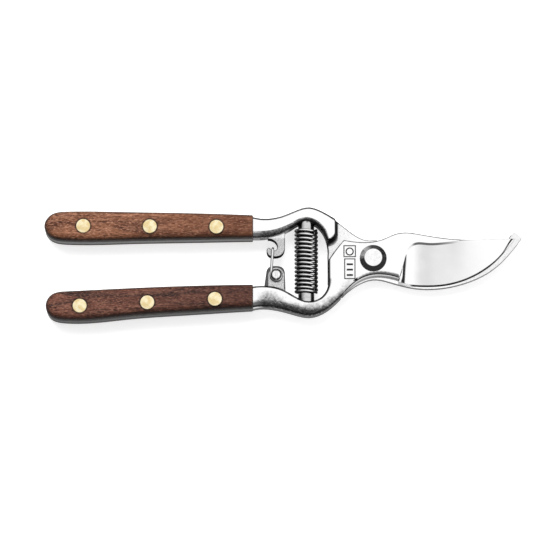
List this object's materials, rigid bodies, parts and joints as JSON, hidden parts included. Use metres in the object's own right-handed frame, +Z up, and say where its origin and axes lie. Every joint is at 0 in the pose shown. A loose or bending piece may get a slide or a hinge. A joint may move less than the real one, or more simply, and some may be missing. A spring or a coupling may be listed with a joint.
{
  "type": "bypass pruning shears",
  "caption": "Bypass pruning shears with forged steel levers, riveted wooden handles, a coil return spring and a swinging wire catch.",
  "frame": {"origin": "middle of the bounding box's base, on the surface that the closed tool lies on", "axes": "+X along the tool from the handle ends to the blade tips, +Y across it from the cutting handle to the hook handle, +Z up, which is also the pivot's axis"},
  "size_m": [0.21, 0.0509, 0.0146],
  "materials": {
    "polished_steel": "forged steel, ground and polished bright",
    "handle_wood": "oiled reddish-brown hardwood with open pores along the grain",
    "rivet_brass": "brass, linished flush with the wood",
    "bolt_steel": "turned and plated steel",
    "spring_steel": "bright drawn spring steel"
  },
  "bodies": {
    "hook_side": {"hook_lever": "polished_steel", "hook_scale_front": "handle_wood", "hook_scale_back": "handle_wood", "hook_rivet_pin_1": "rivet_brass", "hook_rivet_pin_2": "rivet_brass", "hook_rivet_pin_3": "rivet_brass", "hook_rivet_socket_1": "rivet_brass", "hook_rivet_socket_2": "rivet_brass", "hook_rivet_socket_3": "rivet_brass", "pivot_bolt": "bolt_steel", "pivot_washer": "bolt_steel", "pivot_nut": "bolt_steel", "hook_spring_stud": "spring_steel", "return_spring": "spring_steel"},
    "cutting_side": {"cutting_lever": "polished_steel", "cutting_scale_front": "handle_wood", "cutting_scale_back": "handle_wood", "cutting_rivet_pin_1": "rivet_brass", "cutting_rivet_pin_2": "rivet_brass", "cutting_rivet_pin_3": "rivet_brass", "cutting_rivet_socket_1": "rivet_brass", "cutting_rivet_socket_2": "rivet_brass", "cutting_rivet_socket_3": "rivet_brass", "cutting_spring_stud": "spring_steel", "catch_screw": "bolt_steel"},
    "catch": {"catch_wire": "spring_steel"}
  },
  "joints": [
    {"name": "main_pivot", "type": "hinge", "parent": "hook_side", "child": "cutting_side", "pos_m": [0.03935, 0.00218, 0.0072], "axis": [0, 0, 1], "range_deg": [0, 36], "deforming": ["return_spring"]},
    {"name": "catch_swing", "type": "hinge", "parent": "cutting_side", "child": "catch", "pos_m": [-0.00315, -0.00502, 0.00975], "axis": [0, 0, 1], "range_deg": [0, 100]}
  ]
}
